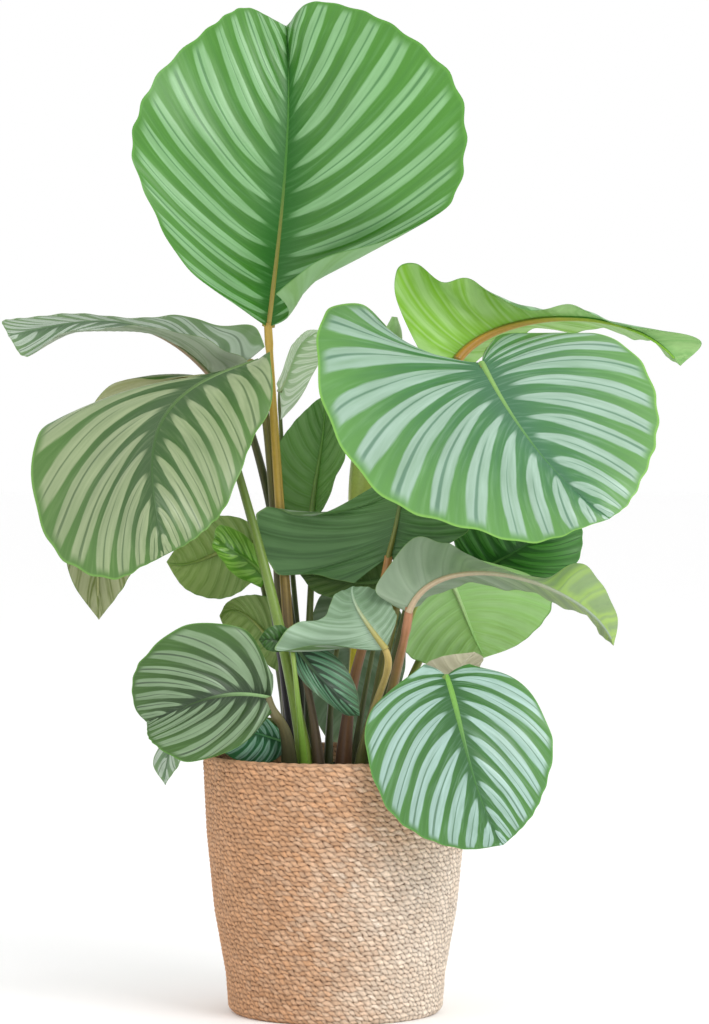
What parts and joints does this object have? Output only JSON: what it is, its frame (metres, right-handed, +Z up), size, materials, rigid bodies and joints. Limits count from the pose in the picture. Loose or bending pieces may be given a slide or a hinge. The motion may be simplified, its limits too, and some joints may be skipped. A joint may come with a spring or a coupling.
{
  "type": "potted calathea",
  "caption": "Potted calathea with large rounded striped leaves on long stalks, standing in soil in a nursery pot inside a twisted-cord basket.",
  "frame": {"origin": "centre of the basket's flat base", "axes": "+Z up, -Y towards the front view, +X to the right in it"},
  "size_m": [0.5547, 0.2793, 0.7898],
  "materials": {
    "leaf": "satin",
    "furled_leaf": "satin",
    "soil": "matte",
    "nursery_pot": "matte",
    "basket": "matte"
  },
  "bodies": {
    "root": {"leaf_top": "leaf", "leaf_right_big": "leaf", "leaf_left_big": "leaf", "leaf_far_left": "leaf", "leaf_left_back": "leaf", "leaf_left_mid": "leaf", "leaf_left_curl": "leaf", "leaf_left_low_back": "leaf", "leaf_left_low": "leaf", "leaf_left_rim": "leaf", "leaf_left_hang": "leaf", "leaf_small_dark": "leaf", "leaf_mid_dark": "leaf", "leaf_mid_pale": "leaf", "leaf_mid_wide": "leaf", "leaf_mid_low": "leaf", "leaf_right_top": "leaf", "leaf_slim_back": "leaf", "leaf_mid_back": "leaf", "leaf_right_dark": "leaf", "leaf_right_long": "leaf", "leaf_right_light": "leaf", "leaf_front_back": "leaf", "leaf_front_low": "leaf", "leaf_back_low": "leaf", "leaf_furled": "furled_leaf", "soil": "soil", "nursery_pot": "nursery_pot", "basket": "basket"}
  },
  "joints": []
}
